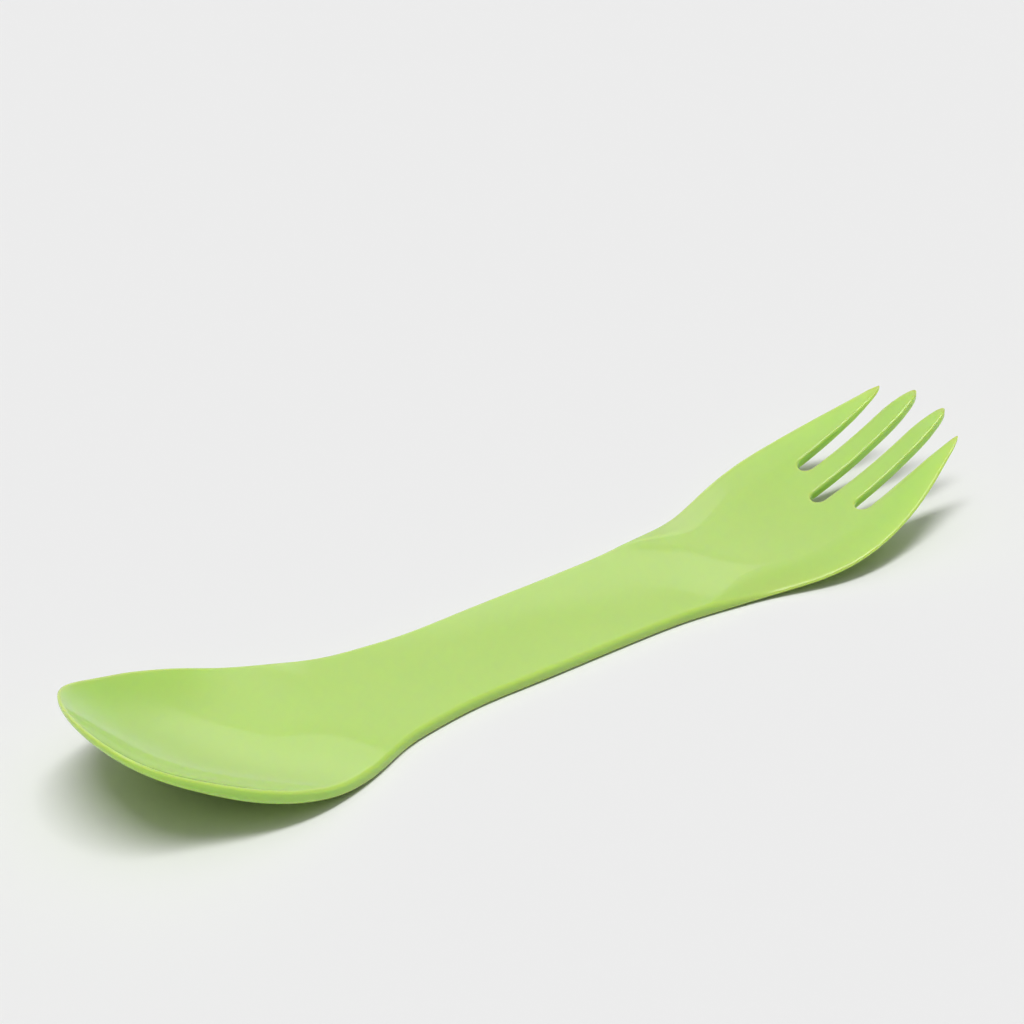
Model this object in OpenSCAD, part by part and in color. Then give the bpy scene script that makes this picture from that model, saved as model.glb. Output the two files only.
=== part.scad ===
// Spork: one plastic moulding with a spoon bowl at one end and a four-tined fork at the other.
// X runs from the spoon tip to the fork tips, Z is up, and the flat handle lies on Z = 0.
// Each region of the moulding is its own solid, and neighbours meet face to face.

/* [Lengths] */
// Spoon end, from its tip to the handle
spoon_l = 66; // [56:1:80]
// Straight handle between the two ends
handle_l = 42; // [30:1:60]
// Fork end, from the handle to the inner tine tips
fork_l = 60.5; // [55:0.5:75]

/* [Handle] */
// Width of the handle
handle_w = 21.9; // [18:0.1:28]
// Thickness of the handle and the bowl
wall_t = 2.2; // [1.8:0.1:2.8]
// Radius of the long edges
edge_r = 0.7; // [0.3:0.05:0.8]

/* [Spoon] */
// Widest point of the bowl
bowl_w = 39.4; // [36:0.2:48]
// Length of the rounded nose
nose_l = 21; // [16:0.2:24]
// Height of the spoon tip above the table, measured under it
bowl_rise = 17.4; // [12:0.2:20]
// Length over which the keel under the bowl comes down to the table
keel_l = 34; // [26:0.5:38]
// Thickness of the bowl at the spoon tip
nose_t = 1.2; // [1:0.1:1.8]
// Length over which the wall thickens from the spoon tip
nose_t_l = 24; // [16:1:32]
// How flat the bowl and the palm are across before they turn up at the rim
cup_curve = 2.2; // [2:0.1:3]

/* [Fork] */
// Widest point of the fork
fork_w = 35.1; // [32:0.1:42]
// Height of the tine tips above the table, measured under them
fork_rise = 15; // [12:0.1:19]
// Length over which the fork curves up to its tips
fork_curve_l = 50.5; // [46:0.5:55]
// How far the rim of the fork stands above its middle
fork_cup = 1.2; // [0.5:0.05:2.5]
// Thickness of the tines
fork_t = 1.9; // [1.6:0.05:2.4]
// Thickness of the thinned outer edges of the fork
blade_t = 0.8; // [0.6:0.05:1.4]
// Width of the band that thins toward each outer edge
bevel_w = 5.9; // [3:0.1:7]

/* [Tines] */
// Length of the middle slot
middle_slot_l = 25.6; // [20:0.1:30]
// How much shorter the two outer slots are
outer_slot_step = 3.4; // [1.5:0.1:5]
// Slot width at the root
slot_root_w = 2.9; // [2.4:0.1:3.2]
// Slot width at the tips
slot_tip_w = 3.85; // [3.2:0.05:4.4]
// Distance of the outer slots from the middle one, at the roots
slot_pitch_root = 7.7; // [7.2:0.1:8.4]
// Distance of the outer slots from the middle one, at the tips
slot_pitch_tip = 7.4; // [7:0.1:8.2]
// How far the outer tines stop short of the inner ones
tip_step = 2.6; // [1:0.2:5]
// Length of the point on each tine
point_l = 7; // [6:0.5:10]
// Length of the point on the side of an outer tine that is the rim
rim_point_l = 2.2; // [1:0.2:5]
// Distance of the inner tips from the centre line
inner_tip_y = 3.7; // [3.2:0.1:4.4]
// Distance of the outer tips from the centre line
outer_tip_y = 10.3; // [9.8:0.1:10.8]
// Radius of the edges round the tines
tine_edge_r = 0.5; // [0.2:0.05:0.7]

/* [Hidden] */

lime = [0.71, 0.85, 0.43];
length = spoon_l + handle_l + fork_l;
fork_x = spoon_l + handle_l;
palm_end_x = length - middle_slot_l;
outer_root_x = palm_end_x + outer_slot_step;

// Half width along the spoon: [share of its length, share of the way from handle to bowl]
bowl_shares = [[0, 1.25], [0.17, 0.82], [0.39, 1], [0.53, 0.91], [0.67, 0.575], [0.76, 0.29],
               [0.86, 0.12], [1, 0]];
// Half width along the fork: [share of its length, share of the way from handle to fork]
fork_shares = [[0, 0.06], [0.13, 0.23], [0.26, 0.46], [0.39, 0.81], [0.52, 1], [0.65, 0.91],
               [0.78, 0.61], [0.91, 0.15], [1, -0.18]];
// Height of the bowl's rim: [share of the spoon's length, share of the rise]
rim_shares = [[0, 1], [0.17, 0.62], [0.35, 0.3], [0.44, 0.178], [0.53, 0.073],
              [0.62, 0.018], [0.72, 0], [0.86, 0], [1, 0]];
// Powers of the keel's curve and of the fork's curve
keel_power = 2.2;
fork_power = 2.18;
// Shares of the fork's length over which its cup and its thinned edges come in
cup_share = 0.6;
bevel_share = 0.3;
// Share of a tine's thickness that is left at its point
point_t_share = 0.6;

// Steps along and across the solids
nose_steps = 12;
step_l = 2.6;
across_steps = 12;
tine_across_steps = 4;
arc_steps = 3;
root_steps = 3;
point_steps = 8;
least_r = 0.02;
nose_share = 0.35;
probe = 0.05;

// Natural cubic curve through points [place, value]: its second derivatives, found by one
// sweep forward and one back
function curve(p) =
    let (n = len(p) - 1,
         h = [for (i = [0 : n - 1]) p[i + 1][0] - p[i][0]],
         g = [for (i = [0 : n - 1]) (p[i + 1][1] - p[i][1]) / h[i]],
         fwd = [for (i = 1, c = [0, 0]; i <= n;
                     c = i < n ? let (b = 2 * (h[i - 1] + h[i]) - h[i - 1] * c[0])
                                 [h[i] / b, (6 * (g[i] - g[i - 1]) - h[i - 1] * c[1]) / b] : c,
                     i = i + 1) c],
         back = [for (i = n, m = 0; i >= 0;
                      m = i > 0 ? fwd[i - 1][1] - fwd[i - 1][0] * m : m, i = i - 1) m])
    [for (i = [0 : n]) [p[i][0], p[i][1], back[n - i]]];
function place(c, x, i = 0) = i >= len(c) - 2 || x < c[i + 1][0] ? i : place(c, x, i + 1);
function at(c, x) =
    let (i = place(c, x), a = c[i], b = c[i + 1], h = b[0] - a[0],
         s = (b[0] - x) / h, t = (x - a[0]) / h)
    s * a[1] + t * b[1] + ((s * s * s - s) * a[2] + (t * t * t - t) * b[2]) * h * h / 6;
function ease(t) = let (u = min(1, max(0, t))) u * u * (3 - 2 * u);

outline = curve(concat(
    [for (s = bowl_shares) [spoon_l * s[0], (handle_w + (bowl_w - handle_w) * s[1]) / 2]],
    [for (s = [1 / 4, 1 / 2, 3 / 4]) [spoon_l + handle_l * s, handle_w / 2]],
    [for (s = fork_shares) [fork_x + fork_l * s[0], (handle_w + (fork_w - handle_w) * s[1]) / 2]]));
rim_line = curve([for (s = rim_shares) [spoon_l * s[0], bowl_rise * s[1]]]);

// Half width of the outline at x, with the round nose
function half_width(x) =
    at(outline, x) * (x < nose_l ? sqrt(1 - pow(1 - max(0, x) / nose_l, 2)) : 1);
// Height of the underside along the centre line, and along the rim
function keel(x) =
    x < fork_x ? bowl_rise * pow(max(0, 1 - x / keel_l), keel_power)
    : fork_rise * pow(max(0, 1 - (length - x) / fork_curve_l), fork_power);
function rim(x) =
    x < spoon_l ? max(0, at(rim_line, x))
    : keel(x) + fork_cup * ease((x - fork_x) / (fork_l * cup_share));
function underside(x, y) =
    let (low = keel(x), out = min(1 + nose_share, abs(y) / max(least_r, half_width(x))))
    low + (rim(x) - low) * pow(out, cup_curve);
// Thickness square to the surface, which thins toward the spoon tip and toward the outer
// edges of the fork
function thickness(x, y) =
    let (full = wall_t + (nose_t - wall_t) * ease(1 - x / nose_t_l)
                + (fork_t - wall_t) * ease((x - fork_x) / (palm_end_x - fork_x)),
         part = ease((x - fork_x) / (fork_l * bevel_share)),
         inward = (half_width(x) - abs(y)) / max(least_r, bevel_w * part))
    full - (full - blade_t) * part * max(0, 1 - inward);
// Half the upright height of the wall, and the height of its middle
function half_t(x, y) =
    thickness(x, y) / 2 * norm([1,
        (underside(x + probe, y) - underside(x - probe, y)) / (2 * probe),
        (underside(x, y + probe) - underside(x, y - probe)) / (2 * probe)]);
function middle(x, y) = underside(x, y) + half_t(x, y);

// Places across a section of half width 1 with rounded corners: [share, drop below the face]
function across(r, width, steps, r2) =
    concat([for (a = [0 : arc_steps]) let (v = 90 * a / arc_steps)
                [-1 + 2 * r * (1 - cos(v)) / width, r * (1 - sin(v))]],
           [for (k = [1 : steps - 1])
                [-1 + 2 * (r + (width - r - r2) * k / steps) / width, 0]],
           [for (a = [arc_steps : -1 : 0]) let (v = 90 * a / arc_steps)
                [1 - 2 * r2 * (1 - cos(v)) / width, r2 * (1 - sin(v))]]);
function reverse(p) = [for (i = [len(p) - 1 : -1 : 0]) p[i]];
// A closed loop of points: along the top from one edge to the other, and back underneath
function loop(p) =
    concat([for (q = p) [q[0], q[1], q[2] + q[3]]],
           [for (q = reverse(p)) [q[0], q[1], q[2] - q[3]]]);

// Section of the bowl, handle or palm; in the nose its two halves fan out from the spine
function wide_section(spine_x, edge_x) =
    let (w = half_width(edge_x), reach = norm([edge_x - spine_x, w]),
         r = min(edge_r, 0.96 * half_t(edge_x, w)))
    loop([for (q = across(r, 2 * reach, across_steps, r))
        let (x = spine_x + (edge_x - spine_x) * abs(q[0]), y = w * q[0])
        [x, y, middle(x, y), half_t(x, y) - q[1]]]);
// Section of a tine from y1 to y2. Its wall is thinned from above by share, and drawn in
// toward its own middle by close.
function tine_section(x, y1, y2, share, close, r1, r2) =
    let (e1 = min(r1, 0.96 * share * close * half_t(x, y1), 0.4 * (y2 - y1)),
         e2 = min(r2, 0.96 * share * close * half_t(x, y2), 0.4 * (y2 - y1)))
    loop([for (q = across(e1, y2 - y1, tine_across_steps, e2))
        let (y = (y1 + y2) / 2 + (y2 - y1) / 2 * q[0])
        [x, y, underside(x, y) + share * half_t(x, y), share * close * half_t(x, y) - q[1]]]);

// A solid through a row of sections. A folded first section is the line where both halves of
// the nose meet. The far end is flat, or runs out to the point end.
module skin(rings, folded = false, end = undef) {
    m = len(rings[0]);
    n = m / 2 - 1;
    last = len(rings) - 1;
    points = concat([for (ring = rings) each ring], is_undef(end) ? [] : [end]);
    function id(i, j) =
        let (k = j % m, l = min(k, m - 1 - k), f = min(l, n - l))
        i * m + (i > 0 || !folded ? k : k <= n ? f : m - 1 - f);
    sides = [for (i = [0 : last - 1], j = [0 : m - 1])
        each [[id(i, j), id(i, j + 1), id(i + 1, j + 1)], [id(i, j), id(i + 1, j + 1), id(i + 1, j)]]];
    start_cap = folded ? [] : [for (j = [0 : n - 1])
        each [[m - 1 - j, m - 2 - j, j + 1], [m - 1 - j, j + 1, j]]];
    end_cap = is_undef(end)
        ? [for (j = [0 : n - 1]) let (o = last * m)
            each [[o + j, o + j + 1, o + m - 2 - j], [o + j, o + m - 2 - j, o + m - 1 - j]]]
        : [for (j = [0 : m - 1]) [id(last, j), id(last, j + 1), len(points) - 1]];
    polyhedron(points, concat(sides, start_cap, end_cap));
}
function steps(x1, x2, size) =
    let (n = max(1, round((x2 - x1) / size))) [for (i = [0 : n]) x1 + (x2 - x1) * i / n];

// Half width of a slot that starts at root, and the distance of the outer slots
function slot_half(x, root) =
    let (t = (x - palm_end_x) / middle_slot_l, d = (x - root) / (slot_root_w / 2))
    (slot_root_w + (slot_tip_w - slot_root_w) * t) / 2
        * (d <= 0 ? 0 : d < 1 ? sqrt(1 - pow(1 - d, 2)) : 1);
function pitch(x) =
    slot_pitch_root + (slot_pitch_tip - slot_pitch_root) * (x - palm_end_x) / middle_slot_l;

// Stations along a tine: close together round the slot roots and toward the point
function tine_stations(tip_x) =
    let (root = [for (i = [0 : root_steps]) slot_root_w / 2 * (1 - cos(90 * i / root_steps))],
         straight = steps(outer_root_x + slot_root_w / 2, tip_x - point_l, step_l))
    concat([for (d = root) palm_end_x + d], [for (d = root) outer_root_x + d],
           [for (i = [1 : len(straight) - 1]) straight[i]],
           [for (i = [1 : point_steps - 1]) tip_x - point_l * (1 - sin(90 * i / point_steps))]);
// A far tine: outer is true for the one at the edge of the fork
module tine(tip_x, tip_y, outer) {
    rings = [for (x = tine_stations(tip_x))
        let (middle_slot = slot_half(x, palm_end_x), side_slot = slot_half(x, outer_root_x),
             inner_side = outer ? pitch(x) + side_slot : middle_slot,
             outer_side = outer ? half_width(x) : pitch(x) - side_slot,
             u = max(0, (x - tip_x) / point_l + 1),
             v = outer ? max(0, (x - tip_x) / rim_point_l + 1) : u,
             r = [min(tine_edge_r, max(least_r, outer ? side_slot : middle_slot)),
                  min(tine_edge_r, outer ? tine_edge_r : max(least_r, side_slot))])
        tine_section(x, tip_y + (inner_side - tip_y) * sqrt(1 - u * u),
                     tip_y + (outer_side - tip_y) * sqrt(1 - v * v),
                     1 - (1 - point_t_share) * u * u, sqrt(1 - pow(u, 8)), r[0], r[1])];
    skin(rings, end = [tip_x, tip_y,
                       underside(tip_x, tip_y) + point_t_share * half_t(tip_x, tip_y)]);
}
module inner_tine() {
    translate([-length / 2, 0, 0]) tine(length, inner_tip_y, false);
}
module outer_tine() {
    translate([-length / 2, 0, 0]) tine(length - tip_step, outer_tip_y, true);
}

module spoon_bowl() {
    nose = [for (i = [0 : nose_steps - 1]) let (t = i / nose_steps)
        wide_section(nose_l * (nose_share + (1 - nose_share) * t), nose_l * (1 - cos(90 * t)))];
    body = [for (x = steps(nose_l, spoon_l, step_l)) wide_section(x, x)];
    color(lime) translate([-length / 2, 0, 0]) skin(concat(nose, body), folded = true);
}
module handle() {
    color(lime) translate([-length / 2, 0, 0])
        skin([for (x = steps(spoon_l, fork_x, 2 * step_l)) wide_section(x, x)]);
}
module fork_palm() {
    color(lime) translate([-length / 2, 0, 0])
        skin([for (x = steps(fork_x, palm_end_x, step_l)) wide_section(x, x)]);
}
module far_outer_tine() { color(lime) outer_tine(); }
module far_inner_tine() { color(lime) inner_tine(); }
module near_inner_tine() { color(lime) mirror([0, 1, 0]) inner_tine(); }
module near_outer_tine() { color(lime) mirror([0, 1, 0]) outer_tine(); }

spoon_bowl();
handle();
fork_palm();
far_outer_tine();
far_inner_tine();
near_inner_tine();
near_outer_tine();
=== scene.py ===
import math

import bpy
import numpy as np
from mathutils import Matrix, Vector


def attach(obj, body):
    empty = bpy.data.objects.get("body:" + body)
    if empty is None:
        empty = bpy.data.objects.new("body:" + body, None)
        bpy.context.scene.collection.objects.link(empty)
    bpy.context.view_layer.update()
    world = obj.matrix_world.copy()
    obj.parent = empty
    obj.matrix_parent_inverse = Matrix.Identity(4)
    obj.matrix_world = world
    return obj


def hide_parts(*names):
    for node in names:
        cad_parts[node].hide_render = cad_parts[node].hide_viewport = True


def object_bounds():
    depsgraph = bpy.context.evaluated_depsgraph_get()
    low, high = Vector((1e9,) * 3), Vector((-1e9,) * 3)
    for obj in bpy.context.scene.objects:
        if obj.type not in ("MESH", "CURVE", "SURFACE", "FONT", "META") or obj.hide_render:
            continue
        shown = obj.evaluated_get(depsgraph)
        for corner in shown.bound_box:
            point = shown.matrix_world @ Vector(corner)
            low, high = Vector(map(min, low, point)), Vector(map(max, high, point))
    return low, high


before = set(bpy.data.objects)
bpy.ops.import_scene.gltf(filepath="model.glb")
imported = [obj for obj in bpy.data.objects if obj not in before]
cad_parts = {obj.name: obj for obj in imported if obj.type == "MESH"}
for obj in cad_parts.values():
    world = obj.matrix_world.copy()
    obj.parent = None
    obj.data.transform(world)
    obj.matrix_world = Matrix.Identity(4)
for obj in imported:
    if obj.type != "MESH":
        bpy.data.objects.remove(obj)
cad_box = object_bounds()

bl_info = {
    "name": "Lime Spork",
    "version": (1, 0, 0),
    "blender": (4, 5, 0),
    "location": "View3D > Sidebar > Spork",
    "description": "Moulded plastic spork with its material, floor, light and camera",
    "category": "Object",
}

MM = 0.001
LENGTH = cad_box[1].x - cad_box[0].x

# Outline of the spoon: share of its length, share of the way from handle to bowl width
BOWL_SHARES = ((0, 1.25), (0.17, 0.82), (0.39, 1), (0.53, 0.91), (0.67, 0.575), (0.76, 0.29),
               (0.86, 0.12), (1, 0))
# Shares of the handle's length at which the outline has the handle's width
HANDLE_SHARES = (0.25, 0.5, 0.75)
# Outline of the fork: share of its length, share of the way from handle to fork width
FORK_SHARES = ((0, 0.06), (0.13, 0.23), (0.26, 0.46), (0.39, 0.81), (0.52, 1), (0.65, 0.91),
               (0.78, 0.61), (0.91, 0.15), (1, -0.18))
# Rim of the bowl: share of the spoon's length, share of the rise
RIM_SHARES = ((0, 1), (0.17, 0.62), (0.35, 0.3), (0.44, 0.178), (0.53, 0.073), (0.62, 0.018),
              (0.72, 0), (0.86, 0), (1, 0))
# Powers of the keel's curve and of the fork's curve
KEEL_POWER = 2.2
FORK_POWER = 2.18
# Shares of the fork's length over which its cup and its thinned band come in
CUP_SHARE = 0.6
BEVEL_SHARE = 0.3
# Half widths from the centre line past which the cup climbs no further
CUP_LIMIT = 1.35
# What is left at a tine's tip of its wall, of its rounded edge's reach and of that edge's depth
POINT_WALL_SHARE = 0.6
TIP_EDGE_SHARE = 0.25
TIP_DEPTH_SHARE = 0.5
# Distance from a tip over which the edge gets finer
TIP_REACH = 4 * MM
# Most of the wall that one rounded edge takes
EDGE_WALL_SHARE = 0.47
# How much faster the edges come down to the tines' rounding than the palm runs to its slots
EDGE_HASTE = 1.1

# Least length that anything is divided by, half the step over which a slope is measured, and
# the distance to which points are rounded when they are welded
LEAST, PROBE, WELD = MM / 50, MM / 20, MM * 1e-4

# Rows: the nose, the body, a slot's round root, between two roots, a straight tine, its point
NOSE_ROWS, BODY_ROWS, ROOT_ROWS, GAP_ROWS, TINE_ROWS, POINT_ROWS = 40, 150, 11, 5, 17, 22
# Columns: across the thinned band, on to the tines' seam, and on to the centre line
BAND_COLUMNS, REST_COLUMNS, INNER_COLUMNS = 6, 7, 12
# Points on each quarter round of the edge
EDGE_POINTS = 8
# Power by which the band's columns crowd toward the rim, and what divides the sine by which
# the inner columns crowd toward both sides
RIM_CROWDING, SIDE_CROWDING = 1.5, 9
# Where the columns change over on the spoon and the handle, which have no band and no seam
PLAIN_CREASE, PLAIN_SEAM = 0.35, 0.52
# Most of the width that the band takes, on the body and on a tine
BAND_MOST, TINE_BAND_MOST = 0.94, 0.9
# Length over which the columns turn to the band at the start of the fork
BAND_START = 8 * MM

# Scale, detail and roughness of the noises in the plastic
CLOUDS, GLOSS_CLOUDS, WAVES, GRAIN = (38, 3, 0.5), (70, 4, 0.6), (150, 2, 0.5), (900, 2, 0.5)
# Shares of the lime's red, green and blue between which its clouds run
DULL, BRIGHT = (0.97, 0.985, 0.93), (1.03, 1.015, 1.07)
# Least share of the roughness, and how far its clouds add to it
GLOSS_LEAST, GLOSS_SPREAD = 0.8, 0.4
# Heights of the moulded skin's waves and grain, in metres
WAVE_HEIGHT, GRAIN_HEIGHT = 0.000004, 0.0000005
# How far red, green and blue light go in the plastic, as shares of the glow
GLOW_SHARES = (0.75, 1.0, 0.14)
REFRACTION = 1.49

# Normal of the plane through the top edge of the pale card that the gloss shows
CARD_EDGE = (0.153, 0.573, -0.805)
# Half the width over which that edge fades, and how far over it the room gets brighter
CARD_BLUR, ROOM_SPAN = 0.002, 0.02
# Brightness of the card low down and high up, the heights between which it changes, and
# brightness of the room far over the card's edge and right over it
CARD_SHADES, CARD_HEIGHTS, ROOM_SHADES = (0.8, 1.55), (0.1, 0.5), (1.1, 0.8)
# Share of that brightness on the near side of the room, and where it turns to the whole
NEAR_SHARE, NEAR_SPAN = 0.3, (0.3, 0.6)
# Middle and half size of the bright window that the gloss shows overhead, along and across
GLEAM_PLACE, GLEAM_REACH = (-0.06, -0.4), (0.38, 0.5)
# Half the width over which a window's border fades, the height below which it fades out, and
# the least height that is divided by
BORDER, HORIZON, LOWEST = 0.01, 0.1, 0.001

# Half the floor's width and the camera's sensor, in metres and in millimetres
FLOOR_REACH = 6
SENSOR = 36


def length_property(name, description, millimetres):
    """A length that the panel shows in its own unit."""
    return bpy.props.FloatProperty(
        name=name, description=description, default=millimetres * MM, min=0,
        subtype="DISTANCE", unit="LENGTH", precision=5)


class SporkSizes(bpy.types.PropertyGroup):
    """Sizes of the moulding."""

    spoon_length: length_property("Spoon length", "Spoon end, from its tip to the handle", 66)
    handle_length: length_property("Handle length", "Straight handle between the ends", 42)
    handle_width: length_property("Handle width", "Width of the handle", 21.9)
    wall: length_property("Wall", "Thickness of the handle and the bowl", 2.2)
    edge_radius: length_property("Edge radius", "Rounding of the long edges", 0.7)
    bowl_width: length_property("Bowl width", "Widest point of the bowl", 39.4)
    nose_length: length_property("Nose length", "Length of the rounded nose", 21)
    bowl_rise: length_property("Bowl rise", "Height under the spoon tip", 17.4)
    keel_length: length_property("Keel length", "Where the keel reaches the table", 34)
    nose_wall: length_property("Nose wall", "Thickness of the bowl at the spoon tip", 1.2)
    nose_thinning: length_property("Nose thinning", "Length over which the nose thins", 24)
    cup_curve: bpy.props.FloatProperty(
        name="Cup curve", description="How flat the hollows are before they turn up",
        default=2.2, min=1.5, max=4)
    fork_width: length_property("Fork width", "Widest point of the fork", 35.1)
    fork_rise: length_property("Fork rise", "Height under the tine tips", 15)
    fork_curve: length_property("Fork curve", "Length over which the fork curves up", 50.5)
    fork_cup: length_property("Fork cup", "Height of the fork's rim over its middle", 1.2)
    tine_thickness: length_property("Tine thickness", "Thickness of the tines", 1.9)
    blade: length_property("Blade", "Thickness of the fork's outer edges", 0.8)
    bevel: length_property("Bevel", "Width of the band that thins to the edges", 5.9)
    slot_length: length_property("Slot length", "Length of the middle slot", 25.6)
    slot_step: length_property("Slot step", "How much shorter the outer slots are", 3.4)
    slot_root: length_property("Slot root", "Slot width at its root", 2.9)
    slot_tip: length_property("Slot tip", "Slot width at the tips", 3.85)
    pitch_root: length_property("Pitch at root", "Outer slots from the middle, at the roots", 7.7)
    pitch_tip: length_property("Pitch at tip", "Outer slots from the middle, at the tips", 7.4)
    tip_step: length_property("Tip step", "How far the outer tines stop short", 2.6)
    point: length_property("Point", "Length of the point on each tine", 7)
    rim_point: length_property("Rim point", "Length of the point on the rim's side", 2.2)
    inner_tip: length_property("Inner tip", "Inner tips from the centre line", 3.7)
    outer_tip: length_property("Outer tip", "Outer tips from the centre line", 10.3)
    tine_edge: length_property("Tine edge", "Rounding of the tines' edges", 0.5)


class SporkFinish(bpy.types.PropertyGroup):
    """Colour and gloss of the plastic."""

    lime: bpy.props.FloatVectorProperty(
        name="Lime", description="Colour of the plastic", subtype="COLOR", size=3, min=0,
        max=1, default=(0.478, 0.70, 0.160))
    glow: length_property("Glow", "How far light spreads inside the plastic", 3.4)
    roughness: bpy.props.FloatProperty(
        name="Roughness", description="Roughness of the moulded skin", default=0.04, min=0,
        max=1, subtype="FACTOR")


class SporkStage(bpy.types.PropertyGroup):
    """Floor, light and camera."""

    floor: bpy.props.FloatVectorProperty(
        name="Floor", description="Colour of the floor", subtype="COLOR", size=3, min=0, max=1,
        default=(0.84, 0.84, 0.84))
    key: bpy.props.FloatProperty(
        name="Key", description="Brightness of the long soft box overhead", default=18.2, min=0)
    gleam: bpy.props.FloatProperty(
        name="Gleam", description="Brightness overhead that the gloss shows", default=5, min=0)
    fill: bpy.props.FloatProperty(
        name="Fill", description="Strength of the glow round the soft box", default=0.37, min=0)
    box_reach: bpy.props.FloatVectorProperty(
        name="Box reach", description="Half length and half width of the soft box, one up",
        subtype="XYZ", size=2, default=(0.38, 0.08))
    box_place: bpy.props.FloatVectorProperty(
        name="Box place", description="Middle of the soft box along and across, one up",
        subtype="XYZ", size=2, default=(-0.06, -0.07))
    target: bpy.props.FloatVectorProperty(
        name="Target", description="Middle of the view", subtype="TRANSLATION", size=3,
        precision=5, default=(0.00375, 0.01168, 0.01696))
    distance: length_property("Distance", "Camera to the middle of the view", 546.5)
    azimuth: bpy.props.FloatProperty(
        name="Azimuth", description="Turn of the camera round the spork", subtype="ANGLE",
        default=math.radians(-35.23))
    elevation: bpy.props.FloatProperty(
        name="Elevation", description="Height of the camera over the horizon", subtype="ANGLE",
        default=math.radians(32.86))
    lens: bpy.props.FloatProperty(
        name="Lens", description="Focal length in millimetres", subtype="DISTANCE_CAMERA",
        unit="CAMERA", default=117.1, min=1)


class Curve:
    """Natural cubic through points of place and value, which runs out straight at both ends."""

    def __init__(self, points):
        self.x, self.y = np.array(points, dtype=float).T
        n = len(self.x) - 1
        h = np.diff(self.x)
        rows = np.eye(n + 1)
        i = np.arange(1, n)
        rows[i, i - 1] = h[:-1]
        rows[i, i] = 2 * (h[:-1] + h[1:])
        rows[i, i + 1] = h[1:]
        right = np.zeros(n + 1)
        right[1:n] = 6 * np.diff(np.diff(self.y) / h)
        self.bend = np.linalg.solve(rows, right)

    def __call__(self, x):
        i = np.clip(np.searchsorted(self.x, x, side="right") - 1, 0, len(self.x) - 2)
        h = self.x[i + 1] - self.x[i]
        t = (x - self.x[i]) / h
        s = 1 - t
        curved = (s ** 3 - s) * self.bend[i] + (t ** 3 - t) * self.bend[i + 1]
        return s * self.y[i] + t * self.y[i + 1] + curved * h * h / 6


def ease(t):
    """Rises from 0 to 1 and is level at both ends: 3t^2 - 2t^3."""
    u = np.clip(t, 0, 1)
    return u * u * (3 - 2 * u)


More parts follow.
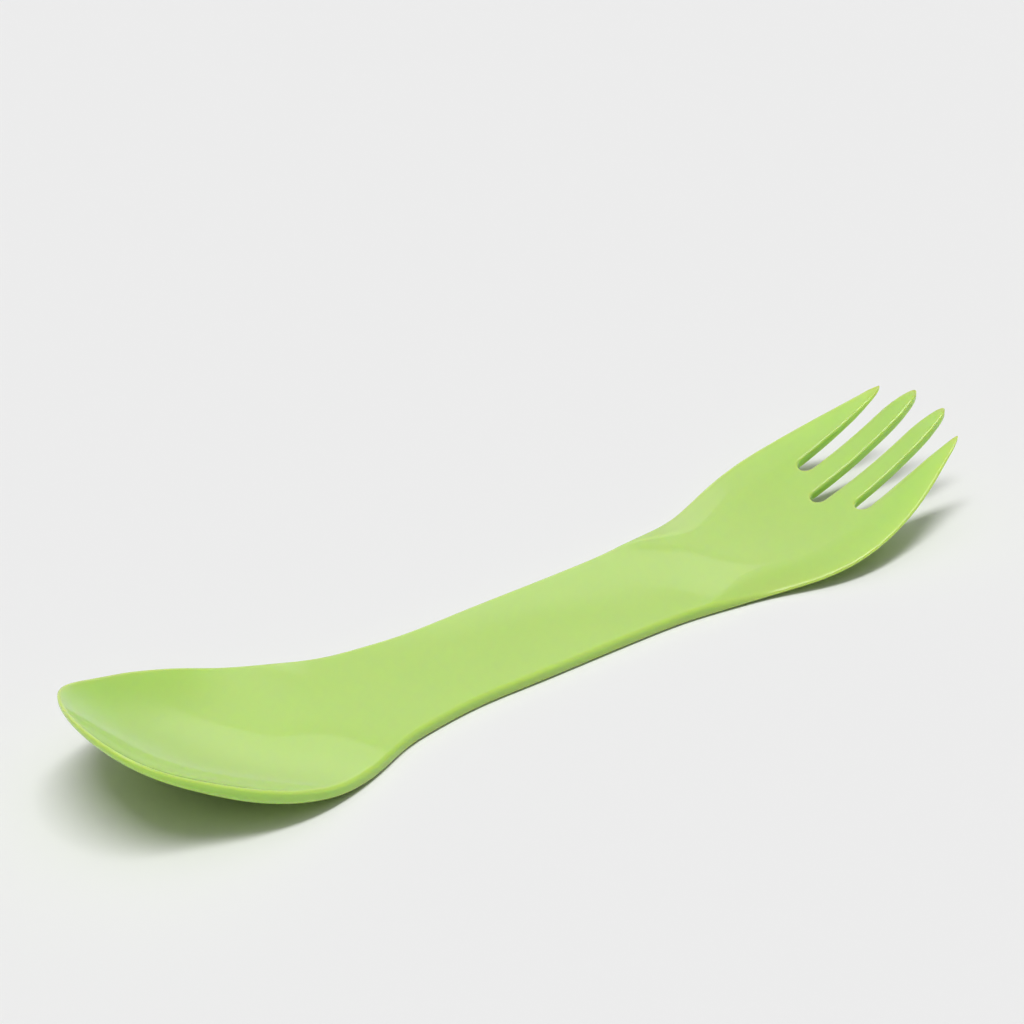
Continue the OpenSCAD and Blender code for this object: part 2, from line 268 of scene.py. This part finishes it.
class Form:
    """Heights and half widths of the moulding by its sizes, s, in metres, with x counted from
    the spoon tip."""

    def __init__(self, s):
        self.s = s
        self.fork_x = s.spoon_length + s.handle_length
        self.fork_length = LENGTH - self.fork_x
        self.root = LENGTH - s.slot_length
        self.outer_root = self.root + s.slot_step
        self.outer_end = LENGTH - s.tip_step
        half = s.handle_width / 2
        self.outline = Curve(
            [(s.spoon_length * p, half + (s.bowl_width / 2 - half) * q) for p, q in BOWL_SHARES]
            + [(s.spoon_length + s.handle_length * p, half) for p in HANDLE_SHARES]
            + [(self.fork_x + self.fork_length * p, half + (s.fork_width / 2 - half) * q)
               for p, q in FORK_SHARES])
        self.rim_line = Curve([(s.spoon_length * p, s.bowl_rise * q) for p, q in RIM_SHARES])

    def half_width(self, x):
        """The outline's curve, drawn in along a quarter ellipse over the nose."""
        nose = np.clip(x / self.s.nose_length, 0, 1)
        return self.outline(x) * np.sqrt(1 - (1 - nose) ** 2)

    def keel(self, x):
        """Underside on the centre line: one power curve down from the tip, one up the fork."""
        s = self.s
        spoon = s.bowl_rise * np.clip(1 - x / s.keel_length, 0, None) ** KEEL_POWER
        fork = s.fork_rise * np.clip(1 - (LENGTH - x) / s.fork_curve, 0, None) ** FORK_POWER
        return np.where(x < self.fork_x, spoon, fork)

    def rim(self, x):
        """Underside at the rim: the bowl's rim curve, and on the fork the keel plus its cup."""
        s = self.s
        bowl = np.clip(self.rim_line(x), 0, None)
        fork = s.fork_cup * ease((x - self.fork_x) / (self.fork_length * CUP_SHARE))
        return np.where(x < s.spoon_length, bowl, self.keel(x) + fork)

    def bevel_part(self, x):
        """Share of the thinned band that has come in, eased in from the start of the fork."""
        return ease((x - self.fork_x) / (self.fork_length * BEVEL_SHARE))

    def underside(self, x, y):
        """Keel, plus the way up to the rim times the cup's power of y over the half width."""
        out = np.abs(y) / np.maximum(self.half_width(x), LEAST)
        low = self.keel(x)
        return low + (self.rim(x) - low) * np.minimum(out, CUP_LIMIT) ** self.s.cup_curve

    def thickness(self, x, y):
        """Wall square to the surface, which thins over a band at the fork's outer edges, and by
        the square of the way along each tine's point."""
        s = self.s
        palm = ease((x - self.fork_x) / (self.root - self.fork_x))
        full = (s.wall + (s.nose_wall - s.wall) * ease(1 - x / s.nose_thinning)
                + (s.tine_thickness - s.wall) * palm)
        part = self.bevel_part(x)
        inward = (self.half_width(x) - np.abs(y)) / np.maximum(s.bevel * part, LEAST)
        end_x = np.where(np.abs(y) > self.pitch(x), self.outer_end, LENGTH)
        point = np.clip((x - end_x) / s.point + 1, 0, 1)
        thinned = full - (full - s.blade) * part * np.clip(1 - inward, 0, 1)
        return thinned * (1 - (1 - POINT_WALL_SHARE) * point ** 2)

    def faces(self, x, y):
        """Heights of the top and the underside: the wall stood upright by its slope."""
        slope_x = (self.underside(x + PROBE, y) - self.underside(x - PROBE, y)) / (2 * PROBE)
        slope_y = (self.underside(x, y + PROBE) - self.underside(x, y - PROBE)) / (2 * PROBE)
        low = self.underside(x, y)
        return low + self.thickness(x, y) * np.sqrt(1 + slope_x ** 2 + slope_y ** 2), low

    def lift(self, plan, up):
        """Points of the plan, raised to the top face or to the underside."""
        high, low = self.faces(plan[..., 0], plan[..., 1])
        return np.concatenate([plan, (high if up else low)[..., None]], -1)

    def pitch(self, x):
        """Distance of the outer slots from the centre line, straight from root to tip."""
        s = self.s
        return s.pitch_root + (s.pitch_tip - s.pitch_root) * (x - self.root) / s.slot_length

    def slot_half(self, x):
        """Half a slot's width past its round root, straight from root width to tip width."""
        s = self.s
        t = (x - self.root) / s.slot_length
        return (s.slot_root + (s.slot_tip - s.slot_root) * t) / 2


def tine_side(x, end_x, end_y, side, reach):
    """One side of a tine, drawn in to its tip along a quarter ellipse of length reach."""
    u = np.clip((x - end_x) / reach + 1, 0, 1)
    return np.stack([x, end_y + (side - end_y) * np.sqrt(1 - u * u)], 1)


class Plan:
    """The outline seen from above, in rows that the blocks of faces share.

    Its far half runs from the nose along the rim to the outer tip, back to the outer slot's
    root, out to the inner tip and back to the middle slot's root. The near half mirrors it.
    """

    def __init__(self, form):
        s = form.s
        arc = np.linspace(0, math.pi / 2, ROOT_ROWS)
        start = form.root - s.tine_edge
        sweep = (s.slot_root / 2 + s.tine_edge) * (1 - np.cos(arc))
        first, second = start + sweep, form.outer_root - s.tine_edge + sweep
        gap = np.linspace(first[-1], second[0], GAP_ROWS)[1:-1]
        common = np.concatenate([first, gap, second])
        split = len(first) + len(gap)
        outer, inner = self.rows(common, form.outer_end, s), self.rows(common, LENGTH, s)
        self.seam = np.stack([inner[:split], form.pitch(inner[:split])], 1)

        turn = np.linspace(0, math.pi / 2, NOSE_ROWS, endpoint=False)
        body_x = np.concatenate([s.nose_length * (1 - np.cos(turn)),
                                 np.linspace(s.nose_length, start, BODY_ROWS)])
        rim = np.stack([body_x, form.half_width(body_x)], 1)
        outer_rim = tine_side(outer, form.outer_end, s.outer_tip, form.half_width(outer),
                              s.rim_point)
        outer_in = tine_side(outer, form.outer_end, s.outer_tip,
                             form.pitch(outer) + form.slot_half(outer), s.point)
        inner_out = tine_side(inner, LENGTH, s.inner_tip,
                              form.pitch(inner) - form.slot_half(inner), s.point)
        inner_in = tine_side(inner, LENGTH, s.inner_tip, form.slot_half(inner), s.point)
        # Round roots take the place of the straight sides in their rows
        k, n = split, len(arc)
        root = np.stack([1 - np.cos(arc), np.sin(arc)], 1)
        middle = (form.outer_root, form.pitch(form.outer_root))
        half = form.slot_half(second)[:, None]
        outer_in[k:k + n] = middle + root * half
        inner_out[k:k + n] = middle + root * (1, -1) * half
        inner_in[:n] = (form.root, 0) + root * form.slot_half(first)[:, None]

        far = np.concatenate([rim, outer_rim[1:], outer_in[-2:k - 1:-1], inner_out[k + 1:],
                              inner_in[-2::-1]])
        self.loop = np.concatenate([far, far[-2:0:-1] * (1, -1)])
        # Places along the loop of each row's two ends
        self.body = np.arange(len(rim))
        self.outer_rim = self.body[-1] + np.arange(len(outer))
        self.outer_in = self.outer_rim[-1] + len(outer) - 1 - np.arange(k, len(outer))
        self.inner_out = self.outer_in[0] + np.arange(len(inner) - k)
        self.inner_in = self.inner_out[-1] + len(inner) - 1 - np.arange(len(inner))

    @staticmethod
    def rows(common, end_x, s):
        """Rows of a tine: evenly to its point, then closer and closer to the tip."""
        straight = np.linspace(common[-1], end_x - s.point, TINE_ROWS)[1:]
        turn = np.linspace(0, math.pi / 2, POINT_ROWS)[1:]
        return np.concatenate([common, straight, end_x - s.point * (1 - np.sin(turn))])


def outward(loop):
    """Unit normals of a closed loop: its direction along its own length, turned left."""
    padded = np.concatenate([loop[-2:], loop, loop[:2]])
    along = np.concatenate([[0], np.cumsum(np.hypot(*np.diff(padded, axis=0).T))])
    direction = np.gradient(padded, along, axis=0)[2:-2]
    direction /= np.hypot(*direction.T)[:, None]
    return np.stack([-direction[:, 1], direction[:, 0]], 1)


class Skin:
    """Collects grids of points, and welds the points in which they meet."""

    def __init__(self):
        self.points, self.faces, self.count = [], [], 0

    def add(self, points, turned=False):
        """Adds a grid of points with a face between each four. Turned ones face the other way."""
        rows, wide = points.shape[:2]
        ids = np.arange(rows * wide).reshape(rows, wide) + self.count
        faces = np.stack([ids[:-1, :-1], ids[1:, :-1], ids[1:, 1:], ids[:-1, 1:]], -1)
        faces = faces.reshape(-1, 4)
        self.faces.append(faces[:, ::-1] if turned else faces)
        self.points.append(points.reshape(-1, 3))
        self.count += rows * wide

    def mesh(self, name):
        """Welds points that round to the same place. A face with two corners there gets three."""
        points = np.concatenate(self.points)
        keys = np.round(points / WELD).astype(np.int64)
        _, first, ids = np.unique(keys, axis=0, return_index=True, return_inverse=True)
        faces = ids.reshape(-1)[np.concatenate(self.faces)]
        same = faces == np.roll(faces, -1, axis=1)
        whole = faces[~same.any(1)]
        three = faces[same.sum(1) == 1]
        # Turned so that the doubled corner comes last, and dropped
        turn = (np.argmax(same[same.sum(1) == 1], 1)[:, None] + 1 + np.arange(3)) % 4
        three = np.take_along_axis(three, turn, 1)
        mesh = bpy.data.meshes.new(name)
        mesh.from_pydata(points[first].tolist(), [], whole.tolist() + three.tolist())
        mesh.validate()
        mesh.shade_smooth()
        mesh.update()
        return mesh


def spread(left, right, shares):
    """Rows of points from left to right, at the shares given for each row."""
    return left[:, None] * (1 - shares[..., None]) + right[:, None] * shares[..., None]


def columns(crease, to_crease, past_crease):
    """Shares across each row: powers of even steps up to the crease, and even ones on to 1."""
    c = crease[:, None]
    first = np.linspace(0, 1, to_crease + 1)[None] ** RIM_CROWDING
    rest = np.linspace(0, 1, past_crease + 1)[None, 1:]
    return np.concatenate([c * first, c + (1 - c) * rest], 1)


def crease_share(form, x, width):
    """Share of the way in from the rim to the crease, where the thinned band begins: the band
    over the width there, eased in from a fixed share at the start of the fork."""
    own = np.clip(form.s.bevel * form.bevel_part(x) / width, 0, BAND_MOST)
    mix = ease((x - form.fork_x) / BAND_START)
    return PLAIN_CREASE * (1 - mix) + own * mix


def edge_sizes(form, loop, wall):
    """How far the rounded edge reaches in, and how deep it is, round the loop.

    Its radius eases from the handle's to the tines'. Reach and depth are the radius times a
    share that eases down toward the tips, and the depth keeps to a share of the wall.
    """
    s = form.s
    radius = s.edge_radius + (s.tine_edge - s.edge_radius) * ease(
        EDGE_HASTE * (loop[:, 0] - form.fork_x) / (form.root - form.fork_x))
    tips = (LENGTH, s.inner_tip), (form.outer_end, s.outer_tip)
    off_tip = ease(np.minimum(*[np.hypot(loop[:, 0] - x, np.abs(loop[:, 1]) - y)
                                for x, y in tips]) / TIP_REACH)
    reach = radius * (TIP_EDGE_SHARE + (1 - TIP_EDGE_SHARE) * off_tip)
    depth = np.minimum(radius, EDGE_WALL_SHARE * wall)
    return reach, depth * (TIP_DEPTH_SHARE + (1 - TIP_DEPTH_SHARE) * off_tip)


def plan_blocks(form, plan, ring):
    """Grids over the far half of the plan: straight rows between the ring and the centre line,
    and on the tines between their two sides. The body's columns run on into both tines."""
    outer_left = ring[plan.outer_rim]
    outer_right = np.concatenate([plan.seam, ring[plan.outer_in]])
    width = np.maximum(np.abs(outer_left - outer_right)[:, 1], MM)
    crease = np.clip(crease_share(form, outer_left[:, 0], width), 0, TINE_BAND_MOST)
    outer = spread(outer_left, outer_right, columns(crease, BAND_COLUMNS, REST_COLUMNS))

    inner_left = np.concatenate([plan.seam, ring[plan.inner_out]])
    even = np.linspace(0, 1, INNER_COLUMNS + 1)
    even = even - np.sin(2 * math.pi * even) / SIDE_CROWDING
    inner = spread(inner_left, ring[plan.inner_in], np.tile(even, (len(inner_left), 1)))

    side = ring[plan.body]
    rows = ease((side[:, 0] - form.fork_x) / (form.root - form.fork_x - form.s.tine_edge))
    seam = PLAIN_SEAM * (1 - rows) + (1 - plan.seam[0, 1] / side[-1, 1]) * rows
    crease = crease_share(form, side[:, 0], np.maximum(side[:, 1] * seam, MM))
    seam = seam[:, None]
    shares = np.concatenate([columns(crease, BAND_COLUMNS, REST_COLUMNS) * seam,
                             seam + (1 - seam) * even[None, 1:]], 1)
    body = spread(side, side * (1, 0), shares)
    body[-1] = np.concatenate([outer[0], inner[0][1:]])
    return body, outer, inner


def moulding_mesh(s):
    """Top and underside are grids over the plan, at the heights that Form gives. A profile with
    a quarter round, an upright wall and a quarter round is carried round the whole outline."""
    form = Form(s)
    plan = Plan(form)
    loop = plan.loop
    normal = outward(loop)
    top, low = form.faces(loop[:, 0], loop[:, 1])
    reach, depth = edge_sizes(form, loop, top - low)

    skin = Skin()
    for block in plan_blocks(form, plan, loop - normal * reach[:, None]):
        for up in (True, False):
            points = form.lift(block, up)
            skin.add(points, turned=up)
            skin.add(points * (1, -1, 1), turned=not up)

    turn = np.linspace(0, math.pi / 2, EDGE_POINTS)
    pull = reach[:, None] * (1 - np.sin(turn))
    drop = depth[:, None] * (1 - np.cos(turn))
    profile = loop[:, None] - normal[:, None] * pull[..., None]
    upper, under = form.lift(profile, True), form.lift(profile, False)
    upper[..., 2] -= drop
    under[..., 2] += drop
    edge = np.concatenate([upper, under[:, ::-1]], 1)
    skin.add(np.concatenate([edge, edge[:1]]))
    skin.points = [p - (LENGTH / 2, 0, 0) for p in skin.points]
    return skin.mesh("spork_moulding")


class Link:
    """A shader socket whose Python arithmetic adds Math nodes."""

    def __init__(self, tree, socket):
        self.tree, self.socket = tree, socket

    def __add__(self, other):
        return self.tree.math("ADD", self, other)

    def __radd__(self, other):
        return self.tree.math("ADD", other, self)

    def __sub__(self, other):
        return self.tree.math("SUBTRACT", self, other)

    def __rsub__(self, other):
        return self.tree.math("SUBTRACT", other, self)

    def __mul__(self, other):
        return self.tree.math("MULTIPLY", self, other)

    def __rmul__(self, other):
        return self.tree.math("MULTIPLY", other, self)

    def __truediv__(self, other):
        return self.tree.math("DIVIDE", self, other)

    def __rtruediv__(self, other):
        return self.tree.math("DIVIDE", other, self)


class Tree:
    """Makes the nodes of a material or a world."""

    def __init__(self, owner):
        owner.use_nodes = True
        self.nodes, self.links = owner.node_tree.nodes, owner.node_tree.links
        self.nodes.clear()

    def node(self, kind, settings=None, sockets=None, output=0):
        """One node, from its type, its settings and the values or links of its sockets."""
        node = self.nodes.new(kind)
        for name, value in (settings or {}).items():
            setattr(node, name, value)
        for name, value in (sockets or {}).items():
            if isinstance(value, Link):
                self.links.new(value.socket, node.inputs[name])
            else:
                node.inputs[name].default_value = value
        return Link(self, node.outputs[output]) if len(node.outputs) else node

    def math(self, operation, *values):
        """A Math node on numbers or links."""
        return self.node("ShaderNodeMath", {"operation": operation}, dict(enumerate(values)))

    def mix(self, factor, a, b):
        """Colour a where the factor is 0 and b where it is 1."""
        return self.node("ShaderNodeMix", {"data_type": "RGBA"}, {0: factor, 6: a, 7: b}, 2)

    def fade(self, value, start, end, low, high):
        """A smooth step from low to high as the value goes from start to end."""
        return self.node("ShaderNodeMapRange", {"interpolation_type": "SMOOTHSTEP"}, {
            "Value": value, "From Min": start, "From Max": end, "To Min": low, "To Max": high})

    def noise(self, place, scale, detail, roughness):
        """Noise that averages a half, in lumps of about one over the scale."""
        return self.node("ShaderNodeTexNoise", {}, {
            "Vector": place, "Scale": scale, "Detail": detail, "Roughness": roughness})


def lime_plastic(finish):
    """Glossy lime polypropylene that light passes into, with the moulded skin's faint waves,
    uneven gloss and clouds of colour."""
    material = bpy.data.materials.new("lime_plastic")
    tree = Tree(material)
    place = tree.node("ShaderNodeTexCoord", output="Object")
    dull, bright = [(*(np.array(finish.lime) * shares), 1) for shares in (DULL, BRIGHT)]
    colour = tree.mix(tree.noise(place, *CLOUDS), dull, bright)
    rough = finish.roughness * (GLOSS_LEAST + GLOSS_SPREAD * tree.noise(place, *GLOSS_CLOUDS))
    height = tree.noise(place, *WAVES) * WAVE_HEIGHT + tree.noise(place, *GRAIN) * GRAIN_HEIGHT
    bump = tree.node("ShaderNodeBump", {}, {"Strength": 1.0, "Distance": 1.0, "Height": height})
    shader = tree.node("ShaderNodeBsdfPrincipled", {"subsurface_method": "RANDOM_WALK"}, {
        "Base Color": colour, "Roughness": rough, "Normal": bump, "IOR": REFRACTION,
        "Subsurface Weight": 1.0, "Subsurface Radius": GLOW_SHARES,
        "Subsurface Scale": finish.glow})
    tree.node("ShaderNodeOutputMaterial", {}, {"Surface": shader})
    return material


def floor_material(stage):
    """Matt pale card."""
    material = bpy.data.materials.new("floor_card")
    tree = Tree(material)
    shader = tree.node("ShaderNodeBsdfDiffuse", {}, {"Color": (*stage.floor, 1)})
    tree.node("ShaderNodeOutputMaterial", {}, {"Surface": shader})
    return material


def studio_world(stage):
    """Studio round the spork, by the direction of a ray.

    Light falls from a long soft box overhead and from a glow round it, which falls off with the
    fourth power of height. Gloss shows a window overhead, a pale card behind the spork up to a
    straight edge, the room over it, and a dimmer room on the near side. The camera sees floor
    colour.
    """
    world = bpy.data.worlds.new("studio")
    tree = Tree(world)
    way = tree.node("ShaderNodeTexCoord", output="Generated")
    along, across, height = [tree.node("ShaderNodeSeparateXYZ", {}, {"Vector": way}, axis)
                             for axis in "XYZ"]
    camera, glossy, through = [tree.node("ShaderNodeLightPath", output=f"Is {kind} Ray")
                               for kind in ("Camera", "Glossy", "Transmission")]
    up = tree.math("MAXIMUM", height, LOWEST)

    def window(brightness, place, reach):
        """Even brightness inside a rectangle overhead, placed and measured one up."""
        level = tree.fade(height, 0, HORIZON, 0, brightness)
        for part, middle, half in zip((along, across), place, reach):
            off = tree.math("ABSOLUTE", part / up - middle)
            level = level * tree.fade(off, half - BORDER, half + BORDER, 1, 0)
        return level

    # A third of the glow's light is left by its fall
    glow = up * up * up * up * (3 * stage.fill)
    lit = glow + window(stage.key, stage.box_place, stage.box_reach)

    edge = tree.node("ShaderNodeVectorMath", {"operation": "DOT_PRODUCT"},
                     {0: way, 1: CARD_EDGE}, "Value")
    on_card = tree.fade(edge, -CARD_BLUR, CARD_BLUR, 0, 1)
    card = tree.fade(height, *CARD_HEIGHTS, *CARD_SHADES)
    room = tree.fade(edge, -ROOM_SPAN, 0, *ROOM_SHADES)
    seen = (room + on_card * (card - room)) * tree.fade(across, *NEAR_SPAN, NEAR_SHARE, 1)
    seen = seen + window(stage.gleam, GLEAM_PLACE, GLEAM_REACH)

    lit = lit + glossy * (seen - lit)
    shown = tree.math("MAXIMUM", camera, through)
    strength = lit + shown * (1 - lit)
    colour = tree.mix(shown, (1, 1, 1, 1), (*stage.floor, 1))
    background = tree.node("ShaderNodeBackground", {}, {"Color": colour, "Strength": strength})
    tree.node("ShaderNodeOutputWorld", {}, {"Surface": background})
    return world


def put(name, data):
    """An object for the data, in the scene."""
    made = bpy.data.objects.new(name, data)
    bpy.context.scene.collection.objects.link(made)
    return made


class SPORK_OT_moulding(bpy.types.Operator):
    """Makes the spork's moulding in one skin, from the spoon tip to the points of the tines"""
    bl_idname = "spork.moulding"
    bl_label = "Moulding"

    def execute(self, context):
        scene = context.scene
        piece = put("spork_moulding", moulding_mesh(scene.spork_sizes))
        piece.data.materials.append(lime_plastic(scene.spork_finish))
        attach(piece, "root")
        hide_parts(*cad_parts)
        return {"FINISHED"}


class SPORK_OT_stage(bpy.types.Operator):
    """Makes the floor, the studio's light and the camera"""
    bl_idname = "spork.stage"
    bl_label = "Stage"

    def execute(self, context):
        stage = context.scene.spork_stage
        mesh = bpy.data.meshes.new("floor")
        corners = [(x * FLOOR_REACH, y * FLOOR_REACH, 0)
                   for x, y in ((-1, -1), (1, -1), (1, 1), (-1, 1))]
        mesh.from_pydata(corners, [], [(0, 1, 2, 3)])
        floor = put("floor", mesh)
        mesh.materials.append(floor_material(stage))

        context.scene.world = studio_world(stage)
        context.scene.view_settings.view_transform = "Standard"

        camera = put("camera", bpy.data.cameras.new("camera"))
        camera.data.lens, camera.data.sensor_width = stage.lens, SENSOR
        camera.data.clip_start, camera.data.clip_end = 0.01, 20
        a, e = stage.azimuth, stage.elevation
        back = Vector((math.sin(a) * math.cos(e), -math.cos(a) * math.cos(e), math.sin(e)))
        camera.location = Vector(stage.target) + back * stage.distance
        camera.rotation_euler = back.to_track_quat("Z", "Y").to_euler()
        context.scene.camera = camera
        return {"FINISHED"}


class SPORK_PT_panel(bpy.types.Panel):
    """Lists the spork's sizes, finish and stage, and makes its pieces."""
    bl_idname = "SPORK_PT_panel"
    bl_label = "Spork"
    bl_space_type = "VIEW_3D"
    bl_region_type = "UI"
    bl_category = "Spork"

    def draw(self, context):
        layout = self.layout
        for group in ("spork_sizes", "spork_finish", "spork_stage"):
            owner = getattr(context.scene, group)
            column = layout.column()
            for name in owner.bl_rna.properties.keys():
                if name not in ("rna_type", "name"):
                    column.prop(owner, name)
        layout.operator("spork.moulding")
        layout.operator("spork.stage")


GROUPS = {"spork_sizes": SporkSizes, "spork_finish": SporkFinish, "spork_stage": SporkStage}
CLASSES = (*GROUPS.values(), SPORK_OT_moulding, SPORK_OT_stage, SPORK_PT_panel)


def register():
    """Adds the classes, and each group of properties to the scene."""
    for made in CLASSES:
        bpy.utils.register_class(made)
    for name, group in GROUPS.items():
        setattr(bpy.types.Scene, name, bpy.props.PointerProperty(type=group))


def unregister():
    """Takes both away again."""
    for name in GROUPS:
        delattr(bpy.types.Scene, name)
    for made in reversed(CLASSES):
        bpy.utils.unregister_class(made)


def main():
    """Makes the spork and its stage."""
    register()
    bpy.ops.spork.moulding()
    bpy.ops.spork.stage()


if __name__ == "__main__":
    main()
